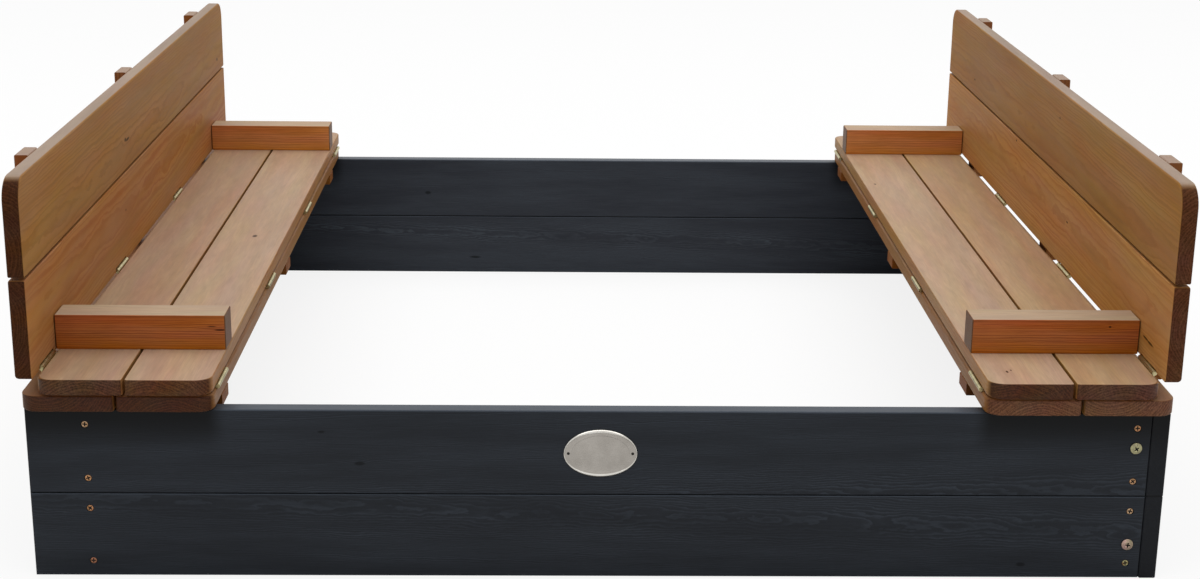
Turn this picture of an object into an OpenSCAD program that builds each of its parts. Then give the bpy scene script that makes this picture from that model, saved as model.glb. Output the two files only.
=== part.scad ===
// Square wooden sandbox whose cover unfolds into two facing benches.
// X runs across the box from bench to bench, Y from front to rear, Z up.
// The origin is on the ground, in the middle of the box.

/* [Box] */
// Outer width of the box, from bench side to bench side
box_w = 950; // [850:5:1150]
// Outer depth of the box, from front to rear
box_d = 950; // [800:5:1300]
// Height of one wall plank
wall_plank_h = 74.5; // [60:0.5:120]
// Thickness of the wall planks
wall_t = 15; // [12:0.5:22]
// Roundover along the edges of the wall planks
wall_edge_r = 1.5; // [0.5:0.1:3]

/* [Corner posts] */
// Width of a corner post along its wall
post_w = 24; // [20:0.5:32]
// Thickness of a corner post off its wall
post_t = 22; // [16:0.5:30]
// How far the posts stop below the top of the wall
post_drop = 2; // [1:0.5:10]

/* [Cover planks] */
// Thickness of the cover planks
cover_t = 13.5; // [11:0.5:18]
// Roundover along the long edges of the cover planks
cover_edge_r = 3; // [1.5:0.1:4]
// Roundover across the ends of the cover planks
cover_end_r = 1.2; // [0.4:0.1:2]
// Gap between the two planks of a panel
plank_gap = 2.4; // [1:0.1:8]
// Corner radius of the base and seat panels
panel_corner_r = 14; // [4:0.5:24]
// Gap between the two halves of the cover when it is closed
centre_gap = 13.4; // [4:0.1:40]

/* [Base panels] */
// How far a base panel reaches past the outer face of the side wall
base_side_over = 1.6; // [0:0.1:6]
// How far a base panel reaches past the front and rear walls
base_end_over = 7.5; // [2:0.5:20]
// Width of the inner plank of a base panel
base_inner_w = 79; // [60:0.5:90]

/* [Seats] */
// How far the seats and backrests reach past the front and rear walls
seat_end_over = 12; // [4:0.5:25]
// Width of the inner plank of a seat
seat_inner_w = 70.3; // [55:0.1:80]

/* [Backrests] */
// Width of the lower plank of a backrest
back_lower_w = 81.5; // [60:0.5:100]
// Width of the upper plank of a backrest
back_upper_w = 81.5; // [60:0.5:100]
// Radius of the upper corners of a backrest
back_corner_r = 20; // [6:0.5:30]
// Radius of the lower corners of a backrest
back_foot_r = 4; // [2:0.5:10]

/* [Armrests] */
// Height of an armrest batten above the seat
armrest_h = 30.5; // [20:0.5:45]
// Width of an armrest batten
armrest_w = 30.5; // [20:0.5:45]
// Distance from the end of the seat to the armrest
armrest_inset = 80; // [72:1:150]
// Roundover along the armrest battens
armrest_edge_r = 2; // [0.5:0.1:4]

/* [Battens] */
// Width of the cross battens below the bases and behind the backrests
batten_w = 31; // [22:0.5:45]
// Thickness of the cross battens
batten_t = 12; // [9:0.5:20]
// Roundover along the cross battens
batten_edge_r = 1.5; // [0.5:0.1:3]
// Inner face of the front wall to the middle of the first batten of the right base
base_batten_near = 76; // [40:1:150]
// Inner face of the rear wall to the middle of the last batten of the right base
base_batten_far = 39; // [30:1:150]
// End of the backrest to the middle of its first batten
back_batten_inset = 103; // [95:1:200]
// Length of the backrest battens below the backrest, which bear on the base
stop_len = 27; // [22:0.5:30]
// Gap between those stops and the outer edge of the base
stop_gap = 0.5; // [0.4:0.1:2]

/* [Hinges] */
// Number of hinges along one line
hinge_count = 4; // [3:1:6]
// Length of one hinge
hinge_len = 44; // [35:1:60]
// End of the seat to the middle of its first hinge
hinge_inset = 50; // [42:1:70]
// Number of knuckles of one hinge
knuckles = 5; // [3:2:7]
// Outer radius of the knuckles
barrel_r = 2; // [1.8:0.05:2.4]
// Radius of the hinge pins
pin_r = 1; // [0.8:0.05:1.2]
// Thickness of the hinge leaves
leaf_t = 1; // [0.8:0.05:1.5]
// Reach of the leaves between base and seat, from the pin
fold_leaf_w = 22; // [14:0.5:30]
// Reach of the leaves on the plank edges between seat and backrest, from the pin
edge_leaf_w = 12.5; // [8:0.1:13]

/* [Clearances] */
// Radial clearance of the pins in the knuckles
pin_clear = 0.05; // [0.03:0.01:0.1]
// Gap between two knuckles
knuckle_gap = 0.3; // [0.2:0.05:0.6]
// Gap between two leaves that lie on each other
leaf_play = 0.3; // [0.2:0.05:0.6]
// Gap between the barrels and the rounded plank edges
barrel_clear = 0.4; // [0.3:0.05:1]
// How far the closed cover stays above the walls
lift = 0.3; // [0.2:0.05:1]

/* [Screws] */
// Radius of the countersunk heads
head_r = 3; // [2.5:0.1:4]
// Radius of the screw shanks
shank_r = 1.75; // [1.5:0.05:2.2]
// Depth of the countersunk heads below the wood
head_sink = 0.4; // [0.2:0.1:1]
// Height of the cone below a countersunk head
head_cone_h = 2.2; // [1.5:0.1:3]
// How deep the wall screws bite into the posts
wall_screw_bite = 15; // [8:0.5:15]
// Radius of the washer heads at the corners
washer_r = 5; // [4:0.1:7]
// How deep the corner screws bite into the post of the next wall
corner_screw_bite = 13; // [8:0.5:18]
// How deep the base screws bite into the walls
base_screw_bite = 20; // [12:0.5:30]
// Distance of the first base screw along a side wall from the corner of the box
base_screw_inset = 95; // [80:1:150]
// Distance of the outer base screws from the edge of their plank
base_screw_edge = 14; // [10:0.5:18]
// How deep the batten screws bite into the cover planks
batten_screw_bite = 9; // [6:0.5:9.5]
// How deep the seat screws bite into the armrests
seat_screw_bite = 18; // [10:0.5:18]
// Distance of the wall screws from the edge of their plank
wall_screw_inset = 13.5; // [8:0.5:20]
// Distance of the corner screws from the top and the bottom of the wall
corner_screw_inset = 31; // [24:0.5:40]

/* [Nameplate] */
// Width of the oval plate
plate_w = 62; // [40:1:80]
// Height of the oval plate
plate_h = 42; // [25:1:55]
// Thickness of the plate
plate_t = 1; // [0.6:0.1:2]
// Width of the raised rim
rim_w = 1.8; // [1:0.1:3]
// Height of the rim above the plate
rim_h = 0.6; // [0.3:0.1:1.2]
// Radius of the two pin heads
plate_pin_r = 1.2; // [0.8:0.1:1.6]

/* [Hidden] */
$fn = 48;
RIGHT = 1;
LEFT = -1;
FRONT_ANGLE = 0;
RIGHT_ANGLE = 90;
REAR_ANGLE = 180;
LEFT_ANGLE = 270;
WALL_ANGLES = [FRONT_ANGLE, RIGHT_ANGLE, REAR_ANGLE, LEFT_ANGLE];
LOWER = 0;
UPPER = 1;
past = 1;                                   // how far a cutter runs past the face it cuts
hole_clear = 0.05;                          // radial clearance of a shank in its hole
head_clear = 0.2;                           // ring round a countersunk head
batten_post_gap = 1;                        // between the base battens and the posts
base_side_screws = 4;                       // base screws along one side wall

wall_h = 2 * wall_plank_h;
base_len = box_d + 2 * base_end_over;
seat_len = box_d + 2 * seat_end_over;

// Levels of the folded stack: base on the wall, hinge leaves, seat
base_top = wall_h + cover_t;
fold_gap = 2 * leaf_t + leaf_play;
fold_axis_z = base_top + (fold_gap + lift) / 2;
seat_bottom = base_top + fold_gap;
seat_top = seat_bottom + cover_t;

// Hinge axes stand off the rounded edges so that a barrel clears the wood
barrel_reach = cover_edge_r + barrel_r + barrel_clear;
fold_rise = cover_edge_r + seat_bottom - fold_axis_z;
fold_out = sqrt(pow(barrel_reach, 2) - pow(fold_rise, 2)) - cover_edge_r;
back_out = leaf_t + leaf_play / 2;
back_rise = sqrt(pow(barrel_reach, 2) - pow(cover_edge_r + back_out, 2)) - cover_edge_r;
back_face = back_rise + lift;

// Widths of the three panels of one half, which close the box between them
back_h = back_lower_w + plank_gap + back_upper_w;
stop_reach = cover_t + back_out + back_face;
base_edge = box_w / 2 + base_side_over;
half_span = base_edge - centre_gap / 2 - back_h - 2 * fold_out - 2 * back_out;
base_w = (half_span - stop_gap + stop_reach) / 2;
seat_w = half_span - base_w;
base_outer_w = base_w - plank_gap - base_inner_w;
seat_outer_w = seat_w - plank_gap - seat_inner_w;
inner_edge = base_edge - base_w;
seat_edge = inner_edge + seat_w;

// Places of the hinge axes and of the backrest
fold_axis_x = inner_edge - fold_out;
back_axis_x = seat_edge + back_out;
back_axis_z = seat_top + back_rise;
back_front_x = back_axis_x + back_face;
back_rear_x = back_front_x + cover_t;
back_bottom = back_axis_z + back_out;
hinge_first = seat_len / 2 - hinge_inset;
hinge_pitch = 2 * hinge_first / (hinge_count - 1);
hinge_ys = [for (i = [0 : hinge_count - 1]) -hinge_first + i * hinge_pitch];

// Places of the battens, posts and armrests
inner_half_d = box_d / 2 - wall_t;
base_batten_first = -inner_half_d + base_batten_near;
base_batten_last = inner_half_d - base_batten_far;
base_batten_ys = [base_batten_first, (base_batten_first + base_batten_last) / 2, base_batten_last];
base_batten_end = box_w / 2 - wall_t - post_t - batten_post_gap;
back_batten_first = seat_len / 2 - back_batten_inset;
back_batten_ys = [-back_batten_first, 0, back_batten_first];
post_h = wall_h - post_drop;
cover_post_x = wall_t + post_t;
armrest_mid = seat_len / 2 - armrest_inset - armrest_w / 2;
base_inner_mid = inner_edge + base_inner_w / 2;
base_outer_x = inner_edge + base_inner_w + plank_gap;
seat_outer_x = inner_edge + seat_inner_w + plank_gap;
seat_inner_mid = inner_edge + seat_inner_w / 2;
seat_outer_mid = seat_outer_x + seat_outer_w / 2;

// Knuckles and screws
knuckle_len = (hinge_len - (knuckles - 1) * knuckle_gap) / knuckles;
knuckle_room = barrel_r + knuckle_gap;
pin_head_over = 0.5;
pin_head_r = pin_r + pin_head_over;
pin_head_t = 0.4;
washer_rim_t = 1.2;
washer_dome_h = 2.4;
washer_dome_r = washer_r / 2;
wall_screw_len = wall_t + wall_screw_bite;
corner_screw_len = wall_t + post_t + corner_screw_bite;
base_screw_len = cover_t + base_screw_bite;
batten_screw_len = batten_t + batten_screw_bite;
seat_screw_len = cover_t + seat_screw_bite;
back_screw_spread = min(back_lower_w, back_upper_w) / 4;
plate_pin_x = plate_w / 2 - rim_w - 2 * plate_pin_r;

DARK = "#2b3037";
STAIN = "#a9825c";
STAIN_DEEP = "#945f33";
BRASS = "#b5ac85";
ZINC = "#b98a55";
NICKEL = "#a8a398";

// ---- Shapes that repeat ----

// Rectangle from the origin with all four corners rounded
module rounded_rect(w, h, r) {
    translate([r, 0]) square([w - 2 * r, h]);
    translate([0, r]) square([w, h - 2 * r]);
    for (x = [r, w - r], y = [r, h - r]) translate([x, y]) circle(r);
}

// What is cut off a square corner at the origin to round it
module corner_cutter(r, t) {
    translate([0, 0, -past]) linear_extrude(t + 2 * past) difference() {
        translate([-past, -past]) square(r + past);
        translate([r, r]) circle(r);
    }
}

// Lying board: x from 0 to w, y about the middle, z from 0 to t
module board(w, len, t, edge_r, end_r) {
    intersection() {
        translate([0, len / 2, 0]) rotate([90, 0, 0]) linear_extrude(len) rounded_rect(w, t, edge_r);
        translate([-past, -len / 2, 0]) rotate([90, 0, 90]) linear_extrude(w + 2 * past)
            rounded_rect(len, t, end_r);
    }
}

// Board that runs along X from x, about y, and rises from z
module cross_board(x, y, z, w, len, t, edge_r) {
    translate([x + len / 2, y + w / 2, z]) rotate([0, 0, -90]) board(w, len, t, edge_r, edge_r);
}

// Board of a cover panel, with its own radius at the corners of each long side
module cover_board(w, len, r_near, r_far) {
    difference() {
        board(w, len, cover_t, cover_edge_r, cover_end_r);
        if (r_near > 0) for (m = [0, 1]) mirror([0, m, 0])
            translate([0, -len / 2, 0]) corner_cutter(r_near, cover_t);
        if (r_far > 0) for (m = [0, 1]) mirror([0, m, 0])
            translate([w, -len / 2, 0]) mirror([1, 0, 0]) corner_cutter(r_far, cover_t);
    }
}

// Countersunk screw that enters at the origin and runs down
module screw(len) {
    rotate_extrude() polygon([
        [0, -head_sink], [head_r, -head_sink], [shank_r, -head_sink - head_cone_h],
        [shank_r, -len], [0, -len]]);
}

// Hole for that screw
module screw_hole(len) {
    rotate_extrude() polygon([
        [0, past], [head_r + head_clear, past], [head_r + head_clear, -head_sink],
        [shank_r + hole_clear, -head_sink - head_cone_h],
        [shank_r + hole_clear, -len - hole_clear], [0, -len - hole_clear]]);
}

// Corner screw with a washer head that stands on the wood
module washer_screw() {
    rotate_extrude() polygon([
        [0, washer_dome_h], [washer_dome_r, washer_dome_h], [washer_r, washer_rim_t],
        [washer_r, 0], [shank_r, 0], [shank_r, -corner_screw_len], [0, -corner_screw_len]]);
}

// Hole for the corner screw
module washer_screw_hole() {
    len = corner_screw_len + hole_clear + past;
    translate([0, 0, past - len]) cylinder(r = shank_r + hole_clear, h = len);
}

// One hinge leaf: pin along Y, plate towards +X at height z0, every second knuckle
module leaf(reach, z0, first) {
    difference() {
        union() {
            translate([knuckle_room, -hinge_len / 2, z0])
                cube([reach - knuckle_room, hinge_len, leaf_t]);
            for (i = [first : 2 : knuckles - 1])
                translate([0, -hinge_len / 2 + i * (knuckle_len + knuckle_gap), 0]) {
                    rotate([-90, 0, 0]) cylinder(r = barrel_r, h = knuckle_len);
                    translate([0, 0, z0]) cube([knuckle_room + past, knuckle_len, leaf_t]);
                }
        }
        rotate([90, 0, 0]) cylinder(r = pin_r + pin_clear, h = hinge_len + 2 * past, center = true);
    }
}

// Hinge pin with a flat rivet head at each end
module hinge_pin() {
    rotate([90, 0, 0]) cylinder(r = pin_r, h = hinge_len + 2 * pin_head_t, center = true);
    for (m = [0, 1]) mirror([0, m, 0]) translate([0, -hinge_len / 2, 0])
        rotate([90, 0, 0]) cylinder(r = pin_head_r, h = pin_head_t);
}

// Places one half of the cover: the left half is the right one turned round
module half(side) {
    rotate([0, 0, side == RIGHT ? 0 : 180]) children();
}

// ---- Box ----

// Span of a wall from corner to corner, and the distance between it and its opposite wall
function wall_span(angle) = angle % 180 == 0 ? box_w : box_d;
function wall_reach(angle) = angle % 180 == 0 ? box_d : box_w;

// Puts a wall's own frame on its side: x from its covering end, y inwards from its outer face
module on_wall(angle) {
    rotate([0, 0, angle])
        translate([-wall_span(angle) / 2, -wall_reach(angle) / 2, 0]) children();
}

// Where the countersunk screws of a wall stand along it
function wall_screw_xs(angle) = [cover_post_x + post_w / 2, wall_span(angle) - wall_t - post_w / 2];

// Heights of the countersunk screws at each end of a wall
wall_screw_zs = [for (level = [LOWER, UPPER], z = [wall_screw_inset, wall_plank_h - wall_screw_inset])
    level * wall_plank_h + z];

// Heights of the corner screws
corner_screw_zs = [corner_screw_inset, wall_h - corner_screw_inset];

// Runs its children at every countersunk screw of a wall, pointing into the wood
module at_wall_screws(angle) {
    for (x = wall_screw_xs(angle), z = wall_screw_zs)
        translate([x, 0, z]) rotate([90, 0, 0]) children();
}

// Runs its children at the corner screws of a wall's butting end
module at_corner_screws(angle) {
    for (z = corner_screw_zs)
        translate([wall_screw_xs(angle)[1], 0, z]) rotate([90, 0, 0]) children();
}

// Plank of one wall: its covering end hides the end of the wall before it
module wall_plank(angle, level) {
    span = wall_span(angle) - wall_t;
    color(DARK) difference() {
        on_wall(angle) translate([span / 2, 0, level * wall_plank_h]) rotate([0, -90, -90])
            board(wall_plank_h, span, wall_t, wall_edge_r, wall_edge_r);
        on_wall(angle) at_wall_screws(angle) screw_hole(wall_screw_len);
        on_wall(angle) at_corner_screws(angle) washer_screw_hole();
        if (level == UPPER) base_screw_holes();
    }
}

// Post at a wall's butting end
module end_post(angle) {
    color(DARK) difference() {
        on_wall(angle) translate([wall_span(angle) - wall_t - post_w, wall_t, 0])
            cube([post_w, post_t, post_h]);
        on_wall(angle) at_wall_screws(angle) screw_hole(wall_screw_len);
        on_wall(angle) at_corner_screws(angle) washer_screw_hole();
    }
}

// Post at a wall's covering end, beside the end post of the wall before it
module cover_post(angle) {
    before = (angle + LEFT_ANGLE) % 360;
    color(DARK) difference() {
        on_wall(angle) translate([cover_post_x, wall_t, 0]) cube([post_w, post_t, post_h]);
        on_wall(angle) at_wall_screws(angle) screw_hole(wall_screw_len);
        on_wall(before) at_corner_screws(before) washer_screw_hole();
    }
}

module front_lower_plank() { wall_plank(FRONT_ANGLE, LOWER); }
module front_upper_plank() { wall_plank(FRONT_ANGLE, UPPER); }
module right_lower_plank() { wall_plank(RIGHT_ANGLE, LOWER); }
module right_upper_plank() { wall_plank(RIGHT_ANGLE, UPPER); }
module rear_lower_plank() { wall_plank(REAR_ANGLE, LOWER); }
module rear_upper_plank() { wall_plank(REAR_ANGLE, UPPER); }
module left_lower_plank() { wall_plank(LEFT_ANGLE, LOWER); }
module left_upper_plank() { wall_plank(LEFT_ANGLE, UPPER); }
module front_end_post() { end_post(FRONT_ANGLE); }
module front_cover_post() { cover_post(FRONT_ANGLE); }
module right_end_post() { end_post(RIGHT_ANGLE); }
module right_cover_post() { cover_post(RIGHT_ANGLE); }
module rear_end_post() { end_post(REAR_ANGLE); }
module rear_cover_post() { cover_post(REAR_ANGLE); }
module left_end_post() { end_post(LEFT_ANGLE); }
module left_cover_post() { cover_post(LEFT_ANGLE); }

module wall_screws() {
    color(ZINC) for (angle = WALL_ANGLES)
        on_wall(angle) at_wall_screws(angle) screw(wall_screw_len);
}

module corner_screws() {
    color(ZINC) for (angle = WALL_ANGLES)
        on_wall(angle) at_corner_screws(angle) washer_screw();
}

// Oval outline about the origin
module oval(w, h) {
    step = 5;
    polygon([for (a = [0 : step : 360 - step]) [w / 2 * cos(a), h / 2 * sin(a)]]);
}

// Puts its children on the front face, in the middle of the upper plank
module on_plate_seat() {
    translate([0, -box_d / 2, wall_h - wall_plank_h / 2]) rotate([90, 0, 0]) children();
}

module nameplate() {
    color(NICKEL) on_plate_seat() difference() {
        linear_extrude(plate_t + rim_h) oval(plate_w, plate_h);
        translate([0, 0, plate_t]) linear_extrude(rim_h + past)
            oval(plate_w - 2 * rim_w, plate_h - 2 * rim_w);
    }
}

module nameplate_pins() {
    color(BRASS) on_plate_seat() for (x = [-plate_pin_x, plate_pin_x])
        translate([x, 0, plate_t]) cylinder(r = plate_pin_r, h = rim_h);
}

// ---- Bases, fixed on the walls ----

module base_inner_plank(side) {
    color(STAIN) half(side) difference() {
        translate([inner_edge, 0, wall_h]) cover_board(base_inner_w, base_len, panel_corner_r, 0);
        base_half_holes();
    }
}

module base_outer_plank(side) {
    color(STAIN) half(side) difference() {
        translate([base_outer_x, 0, wall_h]) cover_board(base_outer_w, base_len, 0, panel_corner_r);
        base_half_holes();
    }
}

// Cross battens below a base, flush with its inner edge
module base_battens(side) {
    len = base_batten_end - inner_edge;
    color(STAIN_DEEP) half(side) difference() {
        for (y = base_batten_ys)
            cross_board(inner_edge, y, wall_h - batten_t, batten_w, len, batten_t, batten_edge_r);
        at_base_batten_screws() screw_hole(batten_screw_len);
    }
}

// Screws that hold one base down: along the side wall and into the front and rear walls
base_screw_first = box_d / 2 - base_screw_inset;
base_screw_pitch = 2 * base_screw_first / (base_side_screws - 1);
base_side_ys = [for (i = [0 : base_side_screws - 1]) -base_screw_first + i * base_screw_pitch];
base_screw_xs = [base_inner_mid, base_outer_x + base_screw_edge];
wall_mid = wall_t / 2;

module at_base_screws() {
    for (y = base_side_ys) translate([box_w / 2 - wall_mid, y, base_top]) children();
    for (x = base_screw_xs, y = [-1, 1] * (box_d / 2 - wall_mid)) translate([x, y, base_top]) children();
}

// Screws that come up through the battens into the base planks
module at_base_batten_screws() {
    for (x = base_screw_xs, y = base_batten_ys)
        translate([x, y, wall_h - batten_t]) rotate([180, 0, 0]) children();
}

module base_half_holes() {
    at_base_screws() screw_hole(base_screw_len);
    at_base_batten_screws() screw_hole(batten_screw_len);
}

module base_screw_holes() {
    for (side = [LEFT, RIGHT]) half(side) at_base_screws() screw_hole(base_screw_len);
}

module base_screws() {
    color(ZINC) for (side = [LEFT, RIGHT]) half(side) at_base_screws() screw(base_screw_len);
}

module base_batten_screws() {
    color(ZINC) for (side = [LEFT, RIGHT]) half(side) at_base_batten_screws() screw(batten_screw_len);
}

// Leaves of the fold hinges that lie on the base
module fold_base_leaves(side) {
    color(BRASS) half(side) for (y = hinge_ys)
        translate([fold_axis_x, y, fold_axis_z]) leaf(fold_leaf_w, base_top - fold_axis_z, 0);
}

module right_base_inner_plank() { base_inner_plank(RIGHT); }
module right_base_outer_plank() { base_outer_plank(RIGHT); }
module right_base_battens() { base_battens(RIGHT); }
module left_base_inner_plank() { base_inner_plank(LEFT); }
module left_base_outer_plank() { base_outer_plank(LEFT); }
module left_base_battens() { base_battens(LEFT); }
module right_fold_base_leaves() { fold_base_leaves(RIGHT); }
module left_fold_base_leaves() { fold_base_leaves(LEFT); }

// ---- Seats, which fold over the inner edge of the bases ----

// Screws that come up through the seat planks into the armrests
module at_seat_screws() {
    for (x = [seat_inner_mid, seat_outer_mid], y = [-1, 1] * armrest_mid)
        translate([x, y, seat_bottom]) rotate([180, 0, 0]) children();
}

module seat_inner_plank(side) {
    color(STAIN) half(side) difference() {
        translate([inner_edge, 0, seat_bottom]) cover_board(seat_inner_w, seat_len, panel_corner_r, 0);
        at_seat_screws() screw_hole(seat_screw_len);
    }
}

module seat_outer_plank(side) {
    color(STAIN) half(side) difference() {
        translate([seat_outer_x, 0, seat_bottom]) cover_board(seat_outer_w, seat_len, 0, panel_corner_r);
        at_seat_screws() screw_hole(seat_screw_len);
    }
}

// Batten across the seat that serves as armrest and keeps the backrest from folding in
module armrest(side, end) {
    color(STAIN_DEEP) half(side) difference() {
        cross_board(inner_edge, end * armrest_mid, seat_top, armrest_w, seat_w, armrest_h, armrest_edge_r);
        at_seat_screws() screw_hole(seat_screw_len);
    }
}

// Leaves of the fold hinges below the seat
module fold_seat_leaves(side) {
    color(BRASS) half(side) for (y = hinge_ys)
        translate([fold_axis_x, y, fold_axis_z]) leaf(fold_leaf_w, seat_bottom - leaf_t - fold_axis_z, 1);
}

module fold_pins(side) {
    color(BRASS) half(side) for (y = hinge_ys) translate([fold_axis_x, y, fold_axis_z]) hinge_pin();
}

// Leaves of the back hinges on the outer edge of the seat
module back_seat_leaves(side) {
    color(BRASS) half(side) for (y = hinge_ys)
        translate([back_axis_x, y, back_axis_z]) rotate([0, 90, 0]) leaf(edge_leaf_w, -back_out, 0);
}

module back_pins(side) {
    color(BRASS) half(side) for (y = hinge_ys) translate([back_axis_x, y, back_axis_z]) hinge_pin();
}

module seat_screws(side) {
    color(ZINC) half(side) at_seat_screws() screw(seat_screw_len);
}

// The half that is turned round has its rear end at the front
module right_seat_inner_plank() { seat_inner_plank(RIGHT); }
module right_seat_outer_plank() { seat_outer_plank(RIGHT); }
module right_front_armrest() { armrest(RIGHT, -1); }
module right_rear_armrest() { armrest(RIGHT, 1); }
module right_fold_seat_leaves() { fold_seat_leaves(RIGHT); }
module right_fold_pins() { fold_pins(RIGHT); }
module right_back_seat_leaves() { back_seat_leaves(RIGHT); }
module right_back_pins() { back_pins(RIGHT); }
module right_seat_screws() { seat_screws(RIGHT); }
module left_seat_inner_plank() { seat_inner_plank(LEFT); }
module left_seat_outer_plank() { seat_outer_plank(LEFT); }
module left_front_armrest() { armrest(LEFT, 1); }
module left_rear_armrest() { armrest(LEFT, -1); }
module left_fold_seat_leaves() { fold_seat_leaves(LEFT); }
module left_fold_pins() { fold_pins(LEFT); }
module left_back_seat_leaves() { back_seat_leaves(LEFT); }
module left_back_pins() { back_pins(LEFT); }
module left_seat_screws() { seat_screws(LEFT); }

// ---- Backrests, which unfold from the outer edge of the seats ----

// Screws through the battens into the backrest planks, driven from behind
module at_back_screws() {
    mids = [back_bottom + back_lower_w / 2, back_bottom + back_h - back_upper_w / 2];
    for (y = back_batten_ys, mid = mids, d = [-1, 1] * back_screw_spread)
        translate([back_rear_x + batten_t, y, mid + d]) rotate([0, 90, 0]) children();
}

// Stands a lying cover board up: its x becomes height and its lower face looks outwards
module stand_up(z) {
    translate([back_rear_x, 0, z]) rotate([0, -90, 0]) children();
}

module back_lower_plank(side) {
    color(STAIN_DEEP) half(side) difference() {
        stand_up(back_bottom) cover_board(back_lower_w, seat_len, back_foot_r, 0);
        at_back_screws() screw_hole(batten_screw_len);
    }
}

module back_upper_plank(side) {
    color(STAIN_DEEP) half(side) difference() {
        stand_up(back_bottom + back_lower_w + plank_gap)
            cover_board(back_upper_w, seat_len, 0, back_corner_r);
        at_back_screws() screw_hole(batten_screw_len);
    }
}

// Battens behind a backrest: their lower ends reach down to bear on the edge of the base
module back_battens(side) {
    len = back_h + stop_len;
    color(STAIN_DEEP) half(side) difference() {
        for (y = back_batten_ys)
            translate([back_rear_x, y - batten_w / 2, back_bottom - stop_len + len / 2])
            rotate([90, 0, 90]) board(batten_w, len, batten_t, batten_edge_r, batten_edge_r);
        at_back_screws() screw_hole(batten_screw_len);
    }
}

// Leaves of the back hinges on the lower edge of the backrest
module back_leaves(side) {
    color(BRASS) half(side) for (y = hinge_ys)
        translate([back_axis_x, y, back_axis_z]) leaf(edge_leaf_w, back_out - leaf_t, 1);
}

module back_screws(side) {
    color(ZINC) half(side) at_back_screws() screw(batten_screw_len);
}

module right_back_lower_plank() { back_lower_plank(RIGHT); }
module right_back_upper_plank() { back_upper_plank(RIGHT); }
module right_back_battens() { back_battens(RIGHT); }
module right_back_leaves() { back_leaves(RIGHT); }
module right_back_screws() { back_screws(RIGHT); }
module left_back_lower_plank() { back_lower_plank(LEFT); }
module left_back_upper_plank() { back_upper_plank(LEFT); }
module left_back_battens() { back_battens(LEFT); }
module left_back_leaves() { back_leaves(LEFT); }
module left_back_screws() { back_screws(LEFT); }

// ---- Assembly ----

front_lower_plank();
front_upper_plank();
right_lower_plank();
right_upper_plank();
rear_lower_plank();
rear_upper_plank();
left_lower_plank();
left_upper_plank();
front_end_post();
front_cover_post();
right_end_post();
right_cover_post();
rear_end_post();
rear_cover_post();
left_end_post();
left_cover_post();
wall_screws();
corner_screws();
nameplate();
nameplate_pins();
right_base_inner_plank();
right_base_outer_plank();
right_base_battens();
left_base_inner_plank();
left_base_outer_plank();
left_base_battens();
base_screws();
base_batten_screws();
right_fold_base_leaves();
left_fold_base_leaves();
right_seat_inner_plank();
right_seat_outer_plank();
right_front_armrest();
right_rear_armrest();
right_fold_seat_leaves();
right_fold_pins();
right_back_seat_leaves();
right_back_pins();
right_seat_screws();
left_seat_inner_plank();
left_seat_outer_plank();
left_front_armrest();
left_rear_armrest();
left_fold_seat_leaves();
left_fold_pins();
left_back_seat_leaves();
left_back_pins();
left_seat_screws();
right_back_lower_plank();
right_back_upper_plank();
right_back_battens();
right_back_leaves();
right_back_screws();
left_back_lower_plank();
left_back_upper_plank();
left_back_battens();
left_back_leaves();
left_back_screws();
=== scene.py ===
import math

import bmesh
import bpy
from mathutils import Euler, Matrix, Vector


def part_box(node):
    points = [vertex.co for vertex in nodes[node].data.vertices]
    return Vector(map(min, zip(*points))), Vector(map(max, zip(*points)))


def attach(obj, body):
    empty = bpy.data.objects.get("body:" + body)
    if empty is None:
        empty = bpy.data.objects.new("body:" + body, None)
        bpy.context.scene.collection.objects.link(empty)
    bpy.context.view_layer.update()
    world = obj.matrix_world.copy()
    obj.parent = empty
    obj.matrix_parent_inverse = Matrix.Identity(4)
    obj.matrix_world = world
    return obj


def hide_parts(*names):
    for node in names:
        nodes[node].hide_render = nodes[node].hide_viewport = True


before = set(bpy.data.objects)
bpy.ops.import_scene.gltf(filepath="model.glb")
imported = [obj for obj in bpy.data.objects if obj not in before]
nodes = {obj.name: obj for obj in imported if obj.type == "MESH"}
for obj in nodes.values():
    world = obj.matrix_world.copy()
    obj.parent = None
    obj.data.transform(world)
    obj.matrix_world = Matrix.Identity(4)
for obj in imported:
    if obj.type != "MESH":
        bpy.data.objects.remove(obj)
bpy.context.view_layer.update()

scene = bpy.context.scene


# ---- Wall planks ----
# Eight softwood planks, two to a wall, planed, with eased edges and stained anthracite.
# The stain fills the soft wood and leaves the hard rings a little lighter. Each wall is
# screwed to posts inside the box, and its covering end hides the end of the wall before it.

def srgb(code):
    """Linear colour from a six-digit sRGB code."""
    parts = [int(code[i:i + 2], 16) / 255 for i in (1, 3, 5)]
    return [p / 12.92 if p <= 0.04045 else ((p + 0.055) / 1.055) ** 2.4 for p in parts] + [1.0]


def add(tree, kind, feeds, stops=(), **settings):
    """New shader node; feeds gives each input a number, a colour or another node's output."""
    node = tree.nodes.new("ShaderNode" + kind)
    for key, value in settings.items():
        setattr(node, key, value)
    for key, value in feeds.items():
        if isinstance(value, bpy.types.NodeSocket):
            tree.links.new(value, node.inputs[key])
        else:
            node.inputs[key].default_value = value
    for i, (at, colour) in enumerate(stops):
        ramp = node.color_ramp.elements
        stop = ramp[i] if i < 2 else ramp.new(at)
        stop.position, stop.color = at, colour
    return node


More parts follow.
